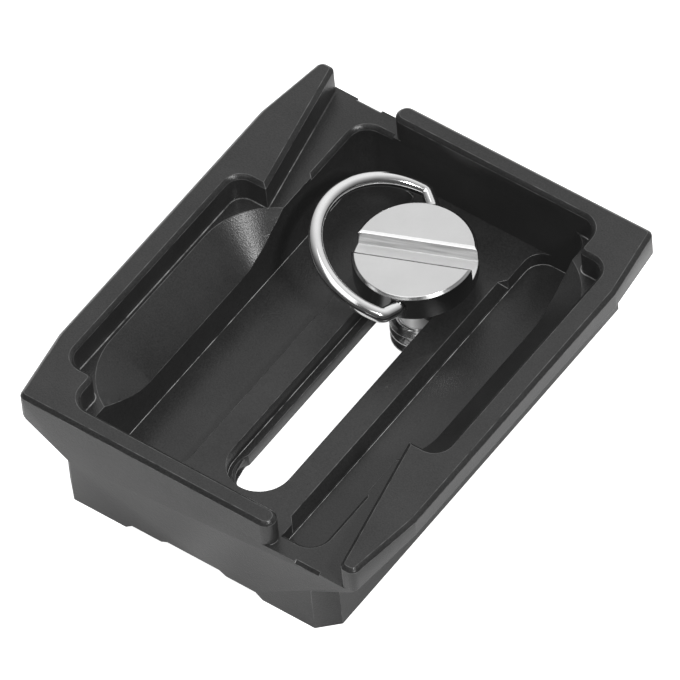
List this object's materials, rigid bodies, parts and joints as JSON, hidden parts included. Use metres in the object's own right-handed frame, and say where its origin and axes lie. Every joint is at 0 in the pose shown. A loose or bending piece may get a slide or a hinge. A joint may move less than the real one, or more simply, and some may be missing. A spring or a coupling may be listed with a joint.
{
  "type": "tripod quick release plate",
  "caption": "Black anodised dovetail plate with a deep pocket, side scoops and a slot, holding a captive camera screw with a coin slot and a folding wire ring.",
  "frame": {"origin": "centre of the plate in its camera face, where the dovetail's centre line crosses it", "axes": "+Z out of the open pocket, away from the camera; +Y along the dovetail and the slot; +X across"},
  "size_m": [0.0426, 0.05, 0.0172],
  "materials": {
    "black_anodised": "fine bead-blasted, black anodised, satin",
    "plated_steel": "turned and nickel plated",
    "bright_wire": "drawn wire, nickel plated, bright"
  },
  "bodies": {
    "plate": {"plate": "black_anodised"},
    "camera_screw": {"camera_screw": "plated_steel"},
    "d_ring": {"d_ring": "bright_wire"}
  },
  "joints": [
    {"name": "screw_slide", "type": "slide", "parent": "plate", "child": "camera_screw", "axis": [0, 1, 0], "range_m": [-0.0256, 0.0006]},
    {"name": "ring_fold", "type": "hinge", "parent": "camera_screw", "child": "d_ring", "pos_m": [0, 0.0125, 0.00799], "axis": [-0.342, 0.9397, 0], "range_deg": [-42, 157]}
  ]
}
